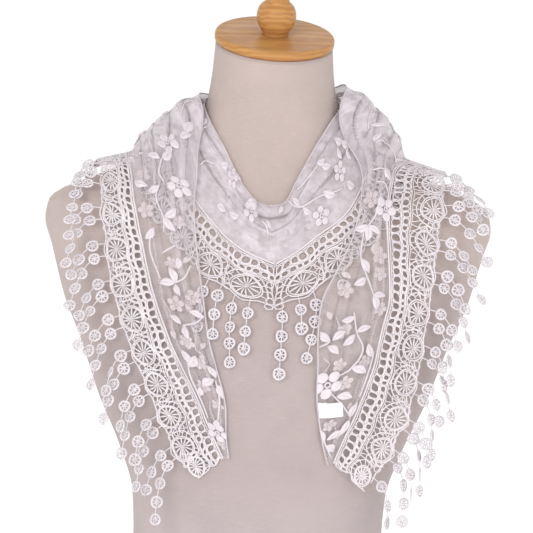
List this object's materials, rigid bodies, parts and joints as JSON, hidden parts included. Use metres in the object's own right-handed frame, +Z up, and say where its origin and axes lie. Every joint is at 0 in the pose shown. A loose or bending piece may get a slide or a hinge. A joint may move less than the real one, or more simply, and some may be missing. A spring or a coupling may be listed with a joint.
{
  "type": "lace shawl on a limbless dress form",
  "caption": "Triangular embroidered net shawl with a scalloped lace border and disc fringe, wrapped point to the front round a linen dress form with a turned wooden neck cap.",
  "frame": {"origin": "middle of the dress form's flat base, on the floor", "axes": "+Z up the form, -Y towards the front where the shawl's point hangs, +X towards the right of a viewer who faces the front"},
  "size_m": [0.422, 0.2375, 0.7227],
  "materials": {
    "linen": "plain cream linen, matt",
    "wood": "honey varnish",
    "net": "sheer net with satin embroidery",
    "lace": "needle lace of matt thread",
    "fringe": "crochet discs and twisted cord",
    "label": "smooth white woven tape, blank"
  },
  "bodies": {
    "root": {"torso": "linen", "neck_cap": "wood", "finial": "wood", "cowl_net": "net", "cowl_left_border": "lace", "cowl_right_border": "lace", "cowl_left_fringe": "fringe", "cowl_right_fringe": "fringe", "left_wrap_net": "net", "left_wrap_border": "lace", "left_wrap_fringe": "fringe", "left_fall_net": "net", "left_fall_border": "lace", "left_fall_fringe": "fringe", "right_wrap_net": "net", "right_wrap_border": "lace", "right_wrap_fringe": "fringe", "right_fall_net": "net", "right_fall_border": "lace", "right_fall_fringe": "fringe", "label": "label"}
  },
  "joints": []
}
